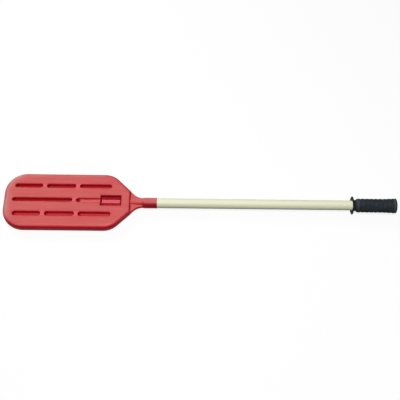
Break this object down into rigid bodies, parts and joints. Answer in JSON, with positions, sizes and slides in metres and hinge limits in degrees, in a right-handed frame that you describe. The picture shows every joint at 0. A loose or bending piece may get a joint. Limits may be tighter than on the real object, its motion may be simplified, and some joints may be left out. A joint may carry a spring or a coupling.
{
  "type": "livestock sorting paddle",
  "caption": "Long-handled sorting paddle: a hollow grooved plastic blade with loose rattle balls inside, on a fibreglass tube with a ribbed rubber grip.",
  "frame": {"origin": "on the tube's axis, half way along the paddle", "axes": "+X along the tube from the blade to the grip, +Y across the blade, +Z out of the blade's face"},
  "size_m": [1.067, 0.165, 0.05],
  "materials": {
    "blade_plastic": "satin coral red polyethylene with faint lengthwise flow marks",
    "plug_plastic": "black polyethylene",
    "rivet_metal": "plain blind rivet",
    "tube_fibreglass": "smooth cream pultruded fibreglass",
    "grip_rubber": "black moulded rubber, slightly shiny",
    "ball_steel": "plain steel balls"
  },
  "bodies": {
    "paddle": {"blade_shell": "blade_plastic", "spigot_plug": "plug_plastic", "neck_rivet": "rivet_metal", "shaft_tube": "tube_fibreglass", "rubber_grip": "grip_rubber"},
    "ball_1": {"rattle_ball_1": "ball_steel"},
    "ball_2": {"rattle_ball_2": "ball_steel"},
    "ball_3": {"rattle_ball_3": "ball_steel"},
    "ball_4": {"rattle_ball_4": "ball_steel"}
  },
  "joints": [
    {"name": "ball_1_roll", "type": "slide", "parent": "paddle", "child": "ball_1", "axis": [1, 0, 0], "range_m": [0, 0.26]},
    {"name": "ball_2_roll", "type": "slide", "parent": "paddle", "child": "ball_2", "axis": [1, 0, 0], "range_m": [0, 0.316]},
    {"name": "ball_3_roll", "type": "slide", "parent": "paddle", "child": "ball_3", "axis": [1, 0, 0], "range_m": [0, 0.316]},
    {"name": "ball_4_roll", "type": "slide", "parent": "paddle", "child": "ball_4", "axis": [1, 0, 0], "range_m": [0, 0.26]}
  ]
}
